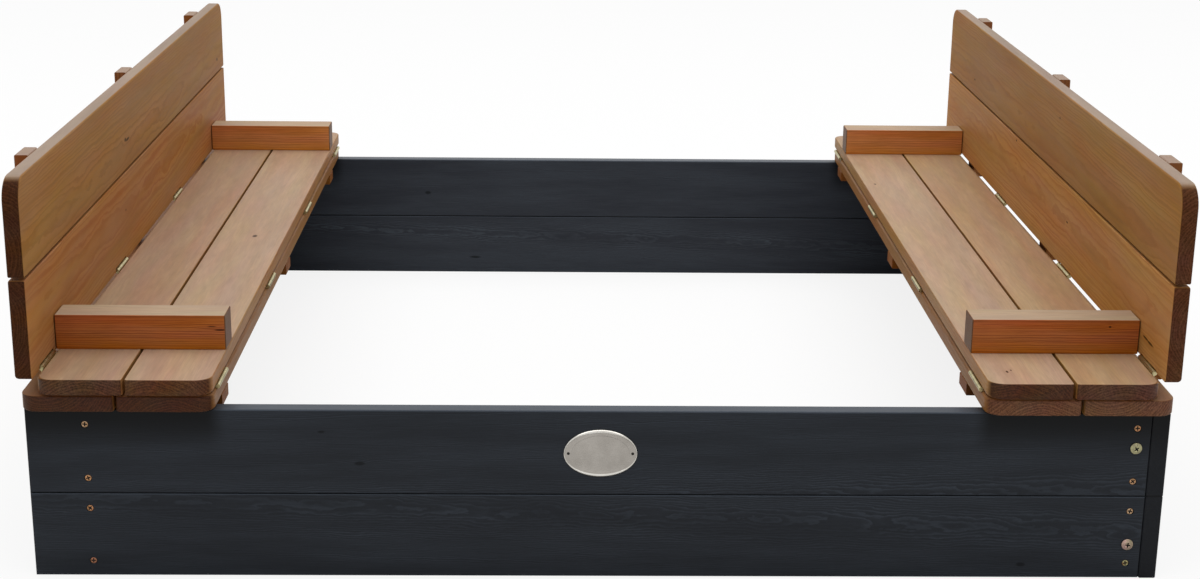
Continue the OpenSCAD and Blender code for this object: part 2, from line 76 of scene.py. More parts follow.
def wood(name, node, along, pith, early, late, end, ring=2.4, sway=3.0, wave=110, tilt=(0, 0, 0),
         fibre=0.12, mottle=0.12, figure=0.06, drift=0.008, gloss=0.12, rough=0.5, relief=0.03,
         painted_level_light=("#b49b84", 0.75), level_light_range=(0.8, 0.99), knots=(), seam=None, cover=None):
    """Stained softwood for one board, with lengths in millimetres from the board's middle:
    growth rings round a pith line along the grain, fibres, knots, painted light on level faces and end
    grain.
    Level faces take the painted light as their upward share goes through the given range, a painted shade
    darkens the groove of a seam at that height, and a painted shadow of the base darkens the wall top past
    that distance from the middle of the box."""
    low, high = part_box(node)
    origin = (low + high) / 2 + Vector(pith) / 1000
    material = bpy.data.materials.new(name)
    material.use_nodes = True
    tree = material.node_tree
    tree.nodes.clear()
    axis = [float(i == along) for i in range(3)]

    def cells(across, length):
        return [1 / length if i == along else 1 / across for i in range(3)]

    coords = add(tree, "TexCoord", {})
    place = add(tree, "Mapping", {"Vector": coords.outputs["Object"], "Location": origin, "Rotation": tilt,
                                  "Scale": (0.001,) * 3}, vector_type="TEXTURE").outputs[0]
    # the stem is never straight: a slow wander bends the rings into waves along the board
    slow = add(tree, "VectorMath", {0: place, 1: cells(wave * 0.3, wave)}, operation="MULTIPLY")
    wander = add(tree, "TexNoise", {"Vector": slow.outputs[0], "Scale": 1.0, "Detail": 4.0,
                                    "Roughness": 0.58}).outputs
    amount = [0.0 if i == along else 2 * sway for i in range(3)]
    bent = add(tree, "VectorMath", {0: wander["Color"], 1: amount, 2: place}, operation="MULTIPLY_ADD")
    flat = add(tree, "VectorMath", {0: bent.outputs[0], 1: [1 - a for a in axis]}, operation="MULTIPLY")
    radius = add(tree, "VectorMath", {0: flat.outputs[0]}, operation="LENGTH").outputs["Value"]
    # good and bad years make wide and narrow rings
    years = add(tree, "TexNoise", {"W": radius, "Scale": 0.16, "Detail": 1.0},
                noise_dimensions="1D").outputs["Fac"]
    phase = add(tree, "Math", {0: radius, 1: 1 / ring}, operation="MULTIPLY").outputs[0]
    phase = add(tree, "Math", {0: years, 1: 1.8, 2: phase}, operation="MULTIPLY_ADD").outputs[0]
    core = None
    for spot, size, length, push in knots:
        # a knot is the root of a branch: rings swerve round its dark core
        centre = Euler(tilt).to_matrix().inverted() @ (Vector(spot) - Vector(pith))
        squeeze = [1.0 if i != along else 1.0 / length for i in range(3)]
        near = add(tree, "VectorMath", {0: place, 1: squeeze}, operation="MULTIPLY")
        away = add(tree, "VectorMath", {0: near.outputs[0], 1: [c * s for c, s in zip(centre, squeeze)]},
                   operation="DISTANCE").outputs["Value"]
        if push:
            bulge = add(tree, "MapRange", {"Value": away, "From Min": 0.0, "From Max": size * 5,
                                           "To Min": push, "To Max": 0.0},
                        interpolation_type="SMOOTHSTEP").outputs[0]
            phase = add(tree, "Math", {0: phase, 1: bulge}, operation="ADD").outputs[0]
        ragged = add(tree, "Math", {0: wander["Fac"], 1: size, 2: away}, operation="MULTIPLY_ADD")
        dark = add(tree, "MapRange", {"Value": ragged.outputs[0], "From Min": size, "From Max": size * 1.8,
                                      "To Min": 1.0, "To Max": 0.0},
                   interpolation_type="SMOOTHSTEP").outputs[0]
        if core is not None:
            dark = add(tree, "Math", {0: core, 1: dark}, operation="MAXIMUM").outputs[0]
        core = dark
    # from one ring to the next: soft spring wood, a slow rise to hard summer wood, then a sharp stop
    saw = add(tree, "Math", {0: phase}, operation="FRACT")
    hardness = ((0, 0.05), (1, 0.05), (0.45, 0.22), (0.78, 1), (0.9, 0.9))
    hard = add(tree, "ValToRGB", {"Fac": saw.outputs[0]},
               stops=[(at, (grey, grey, grey, 1)) for at, grey in hardness]).outputs[0]
    # real fibres are finer than a hair: these are 0.9 mm wide, so that they show
    fine = add(tree, "VectorMath", {0: place, 1: cells(0.9, 30)}, operation="MULTIPLY")
    fibres = add(tree, "TexNoise", {"Vector": fine.outputs[0], "Scale": 1.0, "Detail": 3.0}).outputs["Fac"]
    broad = add(tree, "VectorMath", {0: place, 1: cells(22, 190)}, operation="MULTIPLY")
    patches = add(tree, "TexNoise", {"Vector": broad.outputs[0], "Scale": 1.0, "Detail": 3.0,
                                     "Roughness": 0.55}).outputs
    curls = add(tree, "VectorMath", {0: bent.outputs[0], 1: cells(4.5, 28)}, operation="MULTIPLY")
    curls = add(tree, "TexNoise", {"Vector": curls.outputs[0], "Scale": 1.0, "Detail": 2.0,
                                   "Distortion": 0.6}).outputs["Fac"]
    # fibres, patches and curls each make the stain a little lighter and darker about one mean
    value = 1 - fibre - mottle - figure
    for pattern, strength in ((fibres, fibre), (patches["Fac"], mottle), (curls, figure)):
        value = add(tree, "Math", {0: pattern, 1: 2 * strength, 2: value},
                    operation="MULTIPLY_ADD").outputs[0]
    shift = add(tree, "SeparateColor", {"Color": patches["Color"]})
    hue = add(tree, "MapRange", {"Value": shift.outputs[1], "From Min": 0.3, "From Max": 0.7,
                                 "To Min": 0.5 - drift, "To Max": 0.5 + drift})
    deep = add(tree, "MapRange", {"Value": shift.outputs[2], "From Min": 0.3, "From Max": 0.7,
                                  "To Min": 1 - 6 * drift, "To Max": 1 + 6 * drift})
    # the contrast of the rings comes and goes along the board
    clear = add(tree, "MapRange", {"Value": patches["Fac"], "From Min": 0.36, "From Max": 0.62,
                                   "To Min": 0.3})
    shown = add(tree, "Math", {0: hard, 1: clear.outputs[0]}, operation="MULTIPLY").outputs[0]
    colour = add(tree, "Mix", {0: shown, 6: srgb(early), 7: srgb(late)}, data_type="RGBA").outputs[2]
    # painted light and shade: level faces are mixed towards the given colour, lighter as a painted sheen,
    # darker as a painted shade under cover
    level = add(tree, "SeparateXYZ", {0: coords.outputs["Normal"]})
    level = add(tree, "Math", {0: level.outputs[2]}, operation="ABSOLUTE")
    level_light_share = add(tree, "MapRange", {"Value": level.outputs[0], "From Min": level_light_range[0], "From Max": level_light_range[1],
                                    "To Max": painted_level_light[1]})
    colour = add(tree, "Mix", {0: level_light_share.outputs[0], 6: colour, 7: srgb(painted_level_light[0])},
                 data_type="RGBA").outputs[2]
    if core is not None:
        colour = add(tree, "Mix", {0: core, 6: colour, 7: [c * 0.22 for c in srgb(late)[:3]] + [1]},
                     data_type="RGBA").outputs[2]
    # cut fibres at the ends drink more stain: their rings show as arcs between open pores, which are
    # drawn about 1 mm wide, far coarser than they are
    facing = add(tree, "VectorMath", {0: coords.outputs["Normal"], 1: axis}, operation="DOT_PRODUCT")
    facing = add(tree, "Math", {0: facing.outputs["Value"]}, operation="ABSOLUTE")
    cut = add(tree, "MapRange", {"Value": facing.outputs[0], "From Min": 0.25, "From Max": 0.6})
    pores = add(tree, "TexNoise", {"Vector": place, "Scale": 0.8, "Detail": 2.0}).outputs["Fac"]
    arcs = add(tree, "Math", {0: pores, 1: 1.6, 2: -0.55}, operation="MULTIPLY_ADD")
    arcs = add(tree, "Math", {0: hard, 1: 0.5, 2: arcs.outputs[0]}, operation="MULTIPLY_ADD")
    arcs = add(tree, "Mix", {0: arcs.outputs[0], 6: srgb(end[0]), 7: srgb(end[1])},
               data_type="RGBA").outputs[2]
    colour = add(tree, "Mix", {0: cut.outputs[0], 6: colour, 7: arcs}, data_type="RGBA").outputs[2]
    colour = add(tree, "HueSaturation", {"Hue": hue.outputs[0], "Saturation": deep.outputs[0],
                                         "Value": value, "Color": colour}).outputs[0]
    if seam is not None:
        # painted shade of the seam groove, 0.4 mm above the seam, on the lower rounding of the upper plank
        level = add(tree, "SeparateXYZ", {0: coords.outputs["Object"]}).outputs[2]
        level = add(tree, "Math", {0: level, 1: (seam + 0.4) / 1000}, operation="SUBTRACT")
        level = add(tree, "Math", {0: level.outputs[0]}, operation="ABSOLUTE")
        level = add(tree, "MapRange", {"Value": level.outputs[0], "From Min": 0.0005, "From Max": 0.001,
                                       "To Min": 0.1})
        colour = add(tree, "Mix", {0: level.outputs[0], 6: srgb("#050607"), 7: colour},
                     data_type="RGBA").outputs[2]
    if cover is not None:
        # painted shadow of the base on the wall just under it, fading downward and towards the middle of
        # the box
        spot = add(tree, "SeparateXYZ", {0: coords.outputs["Object"]}).outputs
        side = add(tree, "Math", {0: spot[0]}, operation="ABSOLUTE")
        inside = add(tree, "MapRange", {"Value": side.outputs[0], "From Min": cover / 1000 - 0.012,
                                        "From Max": cover / 1000 + 0.006}, interpolation_type="SMOOTHSTEP")
        close = add(tree, "MapRange", {"Value": spot[2], "From Min": high.z - 0.045,
                                       "From Max": high.z - 0.004, "To Max": 0.97},
                    interpolation_type="SMOOTHSTEP")
        shadowed = add(tree, "Math", {0: inside.outputs[0], 1: close.outputs[0]}, operation="MULTIPLY")
        colour = add(tree, "Mix", {0: shadowed.outputs[0], 6: colour, 7: srgb("#08090a")},
                     data_type="RGBA").outputs[2]
    height = add(tree, "Math", {0: hard, 1: 0.5, 2: fibres}, operation="MULTIPLY_ADD")
    bump = add(tree, "Bump", {"Height": height.outputs[0], "Distance": relief / 1000, "Strength": 0.6})
    sheen = add(tree, "MapRange", {"Value": fibres, "From Min": 0.25, "From Max": 0.75,
                                   "To Min": rough - 0.07, "To Max": rough + 0.07})
    shader = add(tree, "BsdfPrincipled", {"Base Color": colour, "Roughness": sheen.outputs[0],
                                          "Specular IOR Level": gloss, "Normal": bump.outputs[0]})
    add(tree, "OutputMaterial", {"Surface": shader.outputs[0]})
    return material


# Anthracite stain on planed pine, soaked in with a faint gloss: nearly black, with a painted bluish
# highlight on its level faces and upper roundings. Each plank has its own pith, slope of grain and knots,
# which are given by their place, radius, length along the grain in radii, and how many rings they push
# aside.
for node, along, pith, tilt, knots in (
        ("front_lower_plank", 0, (0, 18, 22), (0, 0.03, 0.008), (((366, -7.5, -25), 2.0, 2.0, 0.8),)),
        ("front_upper_plank", 0, (0, 20, -44), (0, -0.03, 0.01),
         (((-193, -7.5, -10), 1.9, 2.2, 1.2), ((-224, -7.5, 18), 1.2, 2.5, 0.3))),
        ("right_lower_plank", 1, (-28, 0, 60), (0.012, 0, 0.01), (((7.5, 90, 10), 2.0, 2.0, 1.0),)),
        ("right_upper_plank", 1, (-34, 0, -50), (-0.010, 0, 0.008), ()),
        ("rear_lower_plank", 0, (0, -20, 14), (0, 0.03, -0.01),
         (((-152, -7.5, -17), 1.8, 4.0, 0.6), ((118, 7.5, -8), 2.0, 2.0, 1.0))),
        ("rear_upper_plank", 0, (0, -24, -58), (0, -0.012, 0.010), (((-212, -7.5, -6), 2.4, 1.8, 1.2),)),
        ("left_lower_plank", 1, (26, 0, 55), (0.010, 0, -0.01), ()),
        ("left_upper_plank", 1, (32, 0, -60), (-0.012, 0, 0.01), (((-7.5, -120, 8), 2.0, 2.0, 1.0),))):
    # the rear wall is painted lighter, standing in for the light it catches inside the box
    early, late = ("#2b2e35", "#3c4249") if "rear" in node else ("#1e2126", "#2d3239")
    # the bluish grey is a painted highlight, the seam gets a painted shade and the upper planks a painted
    # shadow under the base
    nodes[node].material_slots[0].material = wood(
        "anthracite_stained_pine_" + node, node, along, pith, early=early, late=late,
        end=("#101216", "#1b1d21"), ring=1.15, sway=2.8, wave=50, tilt=tilt, fibre=0.24, mottle=0.14,
        drift=0.0, rough=0.34, painted_level_light=("#434a54", 0.7), level_light_range=(0.15, 0.7), knots=knots, seam=74.5,
        cover=320 if "upper" in node else None)


# ---- Corner posts ----
# Two square sawn laths stand in each corner, stained like the walls. The wall planks are
# screwed to them from outside, and they stop just below the top of the wall.

# the same anthracite stain on sawn laths: darker and duller than on the planks
for number, side in enumerate(("front", "right", "rear", "left")):
    for part, reach in (("end_post", 18), ("cover_post", 25)):
        node = side + "_" + part
        nodes[node].material_slots[0].material = wood(
            "anthracite_stained_lath_" + node, node, 2, (reach, 10 + 6 * number, 0), early="#1d2025",
            late="#292e35", end=("#17191c", "#1e2125"), ring=2.6, sway=2.0, wave=90, drift=0.0,
            painted_level_light=("#3c424b", 0.6))


# ---- Wall screws ----
# Countersunk chipboard screws with a cross recess, yellow zinc passivated. Four at each end
# of a wall go through the planks into the post, their heads just below the surface.

def metal(name, colour, dull, rough=0.35, spots=1.2, relief=0.02, metallic=1.0, brushed=None, batch=()):
    """Plated metal: colour drifts between two tones, with fine wear in gloss and relief; batch gives
    three more tones that pieces take in other places on the box."""
    material = bpy.data.materials.new(name)
    material.use_nodes = True
    tree = material.node_tree
    tree.nodes.clear()
    coords = add(tree, "TexCoord", {})
    # blotches are three times as wide as spots, in millimetres, and the wear a third as wide: real
    # scratches are finer, and these are drawn to show
    blot = add(tree, "TexNoise", {"Vector": coords.outputs["Object"], "Scale": 1000 / spots / 3,
                                  "Detail": 3.0})
    grain = coords.outputs["Object"]
    if brushed is not None:
        grain = add(tree, "VectorMath", {0: grain, 1: brushed}, operation="MULTIPLY").outputs[0]
    wear = add(tree, "TexNoise", {"Vector": grain, "Scale": 3000 / spots, "Detail": 2.0}).outputs["Fac"]
    tone = add(tree, "MapRange", {"Value": blot.outputs["Fac"], "From Min": 0.35,
                                  "From Max": 0.7}).outputs[0]
    plating = srgb(colour)
    if batch:
        # the tone drifts across the box, one way below this height and the other way above it
        spot = add(tree, "SeparateXYZ", {0: coords.outputs["Object"]})
        steep, turns_at = 12.0, 0.0995
        rise = add(tree, "Math", {0: spot.outputs[2], 1: -steep, 2: steep * turns_at},
                   operation="MULTIPLY_ADD")
        pick = add(tree, "Math", {0: rise.outputs[0], 1: spot.outputs[0], 2: 0.5}, operation="MULTIPLY_ADD")
        tones = [(0.1, srgb(batch[0])), (0.95, srgb(batch[2])), (0.4, plating), (0.7, srgb(batch[1]))]
        plating = add(tree, "ValToRGB", {"Fac": pick.outputs[0]}, stops=tones).outputs[0]
    tint = add(tree, "Mix", {0: tone, 6: plating, 7: srgb(dull)}, data_type="RGBA").outputs[2]
    gloss = add(tree, "MapRange", {"Value": wear, "From Min": 0.3, "From Max": 0.7, "To Min": rough - 0.08,
                                   "To Max": rough + 0.1}).outputs[0]
    bump = add(tree, "Bump", {"Height": wear, "Distance": relief / 1000, "Strength": 0.5})
    shader = add(tree, "BsdfPrincipled", {"Base Color": tint, "Roughness": gloss, "Metallic": metallic,
                                          "Normal": bump.outputs[0]})
    add(tree, "OutputMaterial", {"Surface": shader.outputs[0]})
    return material


def finish_piece(name, bm, materials, body, slot, *replaced):
    """Turns a bmesh into a piece that rides on a body; big faces keep their flat shading."""
    bmesh.ops.recalc_face_normals(bm, faces=bm.faces)
    mesh = bpy.data.meshes.new(name)
    bm.to_mesh(mesh)
    bm.free()
    for polygon in mesh.polygons:
        polygon.use_smooth = True
    for material in materials:
        mesh.materials.append(material)
    piece = bpy.data.objects.new(name, mesh)
    scene.collection.objects.link(piece)
    even = piece.modifiers.new("flat_faces", "WEIGHTED_NORMAL")
    even.keep_sharp, even.weight = True, 60
    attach(piece, body)
    if replaced:
        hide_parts(*replaced)
    return piece


def ring_of(bm, count, wide, high, z, shift=0.0):
    """Closed ring of points on an ellipse, with its half axes, height and shift in millimetres."""
    stretch = Matrix.Diagonal((wide / 1000, high / 1000, 1, 1))
    place = Matrix.Translation((0, shift / 1000, z / 1000)) @ stretch
    return bmesh.ops.create_circle(bm, radius=1.0, segments=count, matrix=place)["verts"]


def edges_round(bm, ring):
    """Edges of a closed ring of points, made where they are missing."""
    return [bm.edges.get(pair) or bm.edges.new(pair) for pair in zip(ring, ring[1:] + ring[:1])]


def bridge(bm, one, two, material=0):
    """Band of faces between two rings with as many points."""
    faces = bmesh.ops.bridge_loops(bm, edges=edges_round(bm, one) + edges_round(bm, two))["faces"]
    for face in faces:
        face.material_index = material
    return faces


def cap(bm, ring, material=0):
    """Flat face that closes a ring."""
    bmesh.ops.edgeloop_fill(bm, edges=edges_round(bm, ring), mat_nr=material)


def screw_head(name, profile, arm, slit, deep, steps=24, shaded_bands=()):
    """Screw seen from its head: a lathed profile whose top face holds a cross recess, with a painted
    shadow on some of its bands."""
    bm = bmesh.new()
    rings = [ring_of(bm, steps, r, r, z) for r, z in profile]
    for i, (one, two) in enumerate(zip(rings, rings[1:])):
        bridge(bm, one, two, int(i in shaded_bands))
    cap(bm, rings[-1])
    top = profile[0][1]
    corners = [(slit, arm), (-slit, arm), (-slit, slit), (-arm, slit), (-arm, -slit), (-slit, -slit),
               (-slit, -arm), (slit, -arm), (slit, -slit), (arm, -slit), (arm, slit), (slit, slit)]
    # the walls of the cross lean in to this share of its mouth
    taper = 0.62
    rim, floor = ([bm.verts.new((x * k / 1000, y * k / 1000, z / 1000)) for x, y in corners]
                  for k, z in ((1.0, top), (taper, top - deep)))
    bridge(bm, rim, floor, 1)
    cap(bm, floor, 1)
    mouth = edges_round(bm, rim)
    bmesh.ops.triangle_fill(bm, use_beauty=True, edges=edges_round(bm, rings[0]) + mouth, normal=(0, 0, 1))
    for edge in mouth:
        edge.smooth = False
    mesh = bpy.data.meshes.new(name)
    bmesh.ops.recalc_face_normals(bm, faces=bm.faces)
    bm.to_mesh(mesh)
    bm.free()
    return mesh


def shapes_of(node):
    """Points of each separate solid in a CAD node, in metres, sorted by the middle of the solid."""
    bm = bmesh.new()
    bm.from_mesh(nodes[node].data)
    bmesh.ops.remove_doubles(bm, verts=bm.verts, dist=1e-6)
    # the walk starts from the points in their own order, so that every run finds the same list
    seen, found = set(), []
    for start in bm.verts:
        if start in seen:
            continue
        seen.add(start)
        todo, group = [start], []
        while todo:
            vert = todo.pop()
            group.append(vert.co.copy())
            for edge in vert.link_edges:
                other = edge.other_vert(vert)
                if other not in seen:
                    seen.add(other)
                    todo.append(other)
        found.append(group)
    bm.free()
    return sorted(found, key=lambda g: [round(math.fsum(axis) / len(g), 6) for axis in zip(*g)])


def screw_places(node, drop=0.0, turn=0.7):
    """For each CAD screw, the matrix that puts a screw on its axis, at its head, cross turned."""
    places = []
    for i, points in enumerate(shapes_of(node)):
        low = Vector(map(min, zip(*points)))
        high = Vector(map(max, zip(*points)))
        axis = max(range(3), key=lambda k: high[k] - low[k])
        middle = (low + high) / 2
        wide = max(points, key=lambda p: (p - middle).length - abs(p[axis] - middle[axis]) * 0.5)
        out = 1 if wide[axis] > middle[axis] else -1
        middle[axis] = (high if out > 0 else low)[axis] - out * drop
        away = Vector([out * float(k == axis) for k in range(3)])
        # the driver stops each screw at another angle
        spin = Matrix.Rotation(turn * (i * 1.7 % 2.6), 4, "Z")
        places.append(Matrix.Translation(middle) @ away.to_track_quat("Z", "Y").to_matrix().to_4x4() @ spin)
    return places


def fasten(name, template, places, materials, body, *replaced):
    """One object of many screws."""
    bm = bmesh.new()
    for place in places:
        first = len(bm.verts)
        bm.from_mesh(template)
        bm.verts.ensure_lookup_table()
        bmesh.ops.transform(bm, matrix=place, verts=bm.verts[first:])
    return finish_piece(name, bm, materials, body, "zinc_screw", *replaced)


# Yellow passivated zinc on steel: warm, with an uneven tint from screw to screw, a little dull
# from weather.
yellow_zinc = metal("yellow_passivated_zinc", "#b5845c", "#8c6a48", rough=0.38,
                    batch=("#a8705a", "#b39476", "#a29c70"))
# dirt packed in the recess, with its painted shade: nearly black and quite matt; the painted shadow bands
# of the heads take it too
recess_dirt_and_shade = metal("dark_inside_of_cross_recess", "#1a130d", "#241a12", rough=0.7, metallic=0.3)
# the outer band of the head is dark: a painted shadow of the countersink
wall_screw = screw_head("countersunk_screw", [(2.62, 0), (3.0, -0.3), (1.75, -2.2), (1.75, -8)],
                        arm=1.95, slit=0.55, deep=1.3, shaded_bands=(0,))
fasten("wall_screw_heads", wall_screw, screw_places("wall_screws"), (yellow_zinc, recess_dirt_and_shade), "box",
       "wall_screws")


# ---- Corner screws ----
# Two large wafer-head screws at each corner run through the end post into the post of the
# next wall and pull the corner together. Their flat heads stand on the wood.

# the same plating from another bath: paler, towards olive or pink, with a low gleam
pale_zinc = metal("pale_yellow_zinc", "#a4a07a", "#8a8268", rough=0.36,
                  batch=("#a89878", "#b39686", "#b4948c"))
WAFER_HEIGHT = 2.4
# the upright side of the wafer is dark: its painted contact shadow on the wood
wafer_screw = screw_head("wafer_head_screw", [(2.7, WAFER_HEIGHT), (2.95, 2.3), (3.2, 1.5), (4.6, 1.15),
                                              (5.0, 0.8), (5.0, 0.05), (1.75, 0.05), (1.75, -8)],
                         arm=2.15, slit=0.6, deep=1.4, steps=32, shaded_bands=(4,))
places = [place @ Matrix.Translation((0, 0, -WAFER_HEIGHT / 1000))
          for place in screw_places("corner_screws", turn=0.9)]
fasten("corner_screw_heads", wafer_screw, places, (pale_zinc, recess_dirt_and_shade), "box", "corner_screws")


# ---- Nameplate ----
# Pressed oval of thin nickel-plated sheet with a beaded rim and a shallow oval dish, left
# bare. Two small pins hold it in the middle of the upper front plank.

# Nickel-plated sheet, brushed along the oval before pressing: a soft grey sheen. Its bead carries a painted
# highlight, and the underside of its outer slope a painted shade. The pins are blackened steel.
nickel = metal("satin_nickel_sheet", "#a5a099", "#98938c", rough=0.3, spots=4.0, brushed=(0.25, 1, 1))
nickel_bead_highlight = metal("nickel_bead_painted_highlight", "#d9d6cf", "#c4c0b8", rough=0.17, spots=4.0, relief=0.005)
nickel_underside_shade = metal("nickel_underside_painted_shade", "#7d7871", "#6b665f", rough=0.4, spots=4.0)
pin_steel = metal("dark_steel_pin", "#3c3a36", "#22211f", rough=0.45)
plate_low, plate_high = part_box("nameplate")
plate_mid = (plate_low + plate_high) / 2
half_w, half_h = ((plate_high - plate_low) / 2 * 1000).x, ((plate_high - plate_low) / 2 * 1000).z
upright = Matrix.Rotation(math.pi / 2, 4, "X")
bm = bmesh.new()
rings = []
OVAL_STEPS, BEAD_BANDS, SLOPE_BANDS = 128, 8, 4
# section of the bead: how far in from the edge and how high
bead = ((0, 0), (0, 0.3), (0.25, 0.72), (0.7, 1.14), (1.2, 1.44), (1.65, 1.6), (2.0, 1.57), (2.45, 1.28),
        (2.85, 1.0), (3.3, 0.92))
for inset, z in bead:
    ring = ring_of(bm, OVAL_STEPS, 1000, 1000, z)
    for vert in ring:
        # the bead is broad above and below and narrow at the sides, where the pins are
        cut = inset * (0.4 + 0.6 * vert.co.y ** 2)
        vert.co.x *= (half_w - cut) / 1000
        vert.co.y *= (half_h - cut) / 1000
    rings.append(ring)
# the shallow dish inside it: half axes and height of each ring
dish = ((24.8, 16.6, 0.95), (24.4, 16.3, 0.9), (24.1, 16.0, 0.66), (23.7, 15.6, 0.58), (17, 11.4, 0.62),
        (9, 6.2, 0.66), (2, 1.4, 0.67))
rings += [ring_of(bm, OVAL_STEPS, w, h, z, -0.4) for w, h, z in dish]
# the bead takes the painted highlight
for i, (one, two) in enumerate(zip(rings, rings[1:])):
    for face in bridge(bm, one, two, int(i < BEAD_BANDS)):
        # painted shade on the underside of the outer slope of the bead
        if i < SLOPE_BANDS and face.calc_center_median().y < -half_h / 2200:
            face.material_index = 2
cap(bm, rings[-1])
cap(bm, rings[0])
on_wall = Matrix.Translation((plate_mid.x, plate_high.y, plate_mid.z)) @ upright
bmesh.ops.transform(bm, matrix=on_wall, verts=bm.verts)
finish_piece("pressed_nameplate", bm, (nickel, nickel_bead_highlight, nickel_underside_shade), "box", "nickel_plate", "nameplate")
bm = bmesh.new()
for points in shapes_of("nameplate_pins"):
    middle = sum(points, Vector()) / len(points)
    first = len(bm.verts)
    rings = [ring_of(bm, 20, r, r, z) for r, z in ((1.25, 0.93), (1.2, 1.1), (0.8, 1.35), (0.3, 1.45))]
    for one, two in zip(rings, rings[1:]):
        bridge(bm, one, two)
    cap(bm, rings[0])
    cap(bm, rings[-1])
    bm.verts.ensure_lookup_table()
    on_wall = Matrix.Translation((middle.x, plate_high.y, middle.z)) @ upright
    bmesh.ops.transform(bm, matrix=on_wall, verts=bm.verts[first:])
finish_piece("nameplate_pin_heads", bm, (pin_steel,), "box", "nickel_plate", "nameplate_pins")


# ---- Base planks ----
# Two planks on each side wall carry the folding seat. Planed softwood, brown stained, long
# edges rounded and outer corners sawn to a curve; screwed down into the walls from above.

def board(name, node, body, material, thick, across, corners=(2.8,) * 4, edges=(1.2,) * 4, tip=1.2,
          foot=0.0, grow=(0, 0), notches=(), holes=(), side=1, slot="seat_wood"):
    """Board in the box of a CAD node, lengths in millimetres. Seen from its wide face, its corners have
    these radii (low, low), (high, low), (high, high), (low, high), first along and then across the grain.
    edges are the roundings of its long edges: low side below and above, high side below and above; tip is
    that of its ends. Its low edge reaches foot further down, except in the notches, and its ends grow by
    so much. Screw holes are sunk into the wide face on one side."""
    corner_steps, edge_steps, notch_round = 8, 4, 2.5
    low, high = (v * 1000 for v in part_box(node))
    along = 3 - thick - across
    low[along], high[along] = low[along] - grow[0], high[along] + grow[1]
    base = low[across] - foot
    outline = []
    for i, (u, v, du, dv) in enumerate((
            (low[along], base, 1, 1), (high[along], base, -1, 1),
            (high[along], high[across], -1, -1), (low[along], high[across], 1, -1))):
        for k in range(corner_steps + 1):
            turn = math.radians(180 + 90 * i + 90 * k / corner_steps)
            c, s = math.cos(turn), math.sin(turn)
            soft = [tip * c * c + r * s * s for r in (edges[2:] if s > 0 else edges[:2])]
            outline.append((u + corners[i] * (du + c), v + corners[i] * (dv + s), -c, -s, soft))
        for start, stop in notches if i == 0 else ():
            # a notch has a wide rounding of its own, where the hinge barrel turns
            outline += [(start, base, 0, 1, edges[:2]), (start, base + foot, 0, 1, (notch_round,) * 2),
                        (stop, base + foot, 0, 1, (notch_round,) * 2), (stop, base, 0, 1, edges[:2])]
    bm = bmesh.new()
    rings = []
    for face, inward in ((low[thick], 1), (high[thick], -1)):
        for k in range(edge_steps + 1)[::inward]:
            a = math.pi / 2 * k / edge_steps
            ring = []
            for u, v, du, dv, softs in outline:
                spot, soft = Vector((0, 0, 0)), softs[int(inward < 0)]
                spot[along] = u + du * soft * (1 - math.sin(a))
                spot[across] = v + dv * soft * (1 - math.sin(a))
                spot[thick] = face + inward * soft * (1 - math.cos(a))
                ring.append(bm.verts.new(spot / 1000))
            rings.append(ring)
    for one, two in zip(rings, rings[1:]):
        bridge(bm, one, two)
        for i in range(corner_steps + 1, corner_steps + 1 + 4 * len(notches)):
            bm.edges.get((one[i], two[i])).smooth = False
    top, bottom = (rings[-1], rings[0]) if side > 0 else (rings[0], rings[-1])
    cap(bm, bottom)
    if holes:
        rims = edges_round(bm, top)
        z = top[0].co.z * 1000
        for x, y in holes:
            # a sunk hole: a straight lip, the cone for the head, then the bore
            circles = [ring_of(bm, 24, r, r, z - side * d)
                       for r, d in ((3.2, 0), (3.2, 0.4), (1.8, 2.6), (1.8, 6))]
            bmesh.ops.translate(bm, vec=(x, y, 0), verts=sum(circles, []))
            for one, two in zip(circles, circles[1:]):
                bridge(bm, one, two)
            cap(bm, circles[-1])
            mouth = edges_round(bm, circles[0])
            for edge in mouth:
                edge.smooth = False
            rims += mouth
        bmesh.ops.triangle_fill(bm, use_beauty=True, edges=rims, normal=(0, 0, side))
    else:
        cap(bm, top)
    return finish_piece(name, bm, (material,), body, slot, node)


def holes_in(node, screws):
    """Middles of the screws that enter the wide face of a CAD board."""
    low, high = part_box(node)
    spots = [place.translation for place in screw_places(screws)]
    return [(s.x, s.y) for s in spots if low.x < s.x < high.x and low.y < s.y < high.y]


# wide corners on the low or on the high side of the board; the other corners are only eased
ROUNDED = ((14, 14, 2.8, 2.8), (2.8, 2.8, 14, 14))
# the hinge barrels need the rounder inner edge; the outer edge is the stop for the backrest
BASE_EDGES = {"left_outer": (1.2, 0.4, 1.2, 1.2), "right_outer": (1.2, 1.2, 1.2, 0.8),
              "left_inner": (1.2, 1.2, 1.2, 2.5), "right_inner": (1.2, 2.5, 1.2, 1.2)}
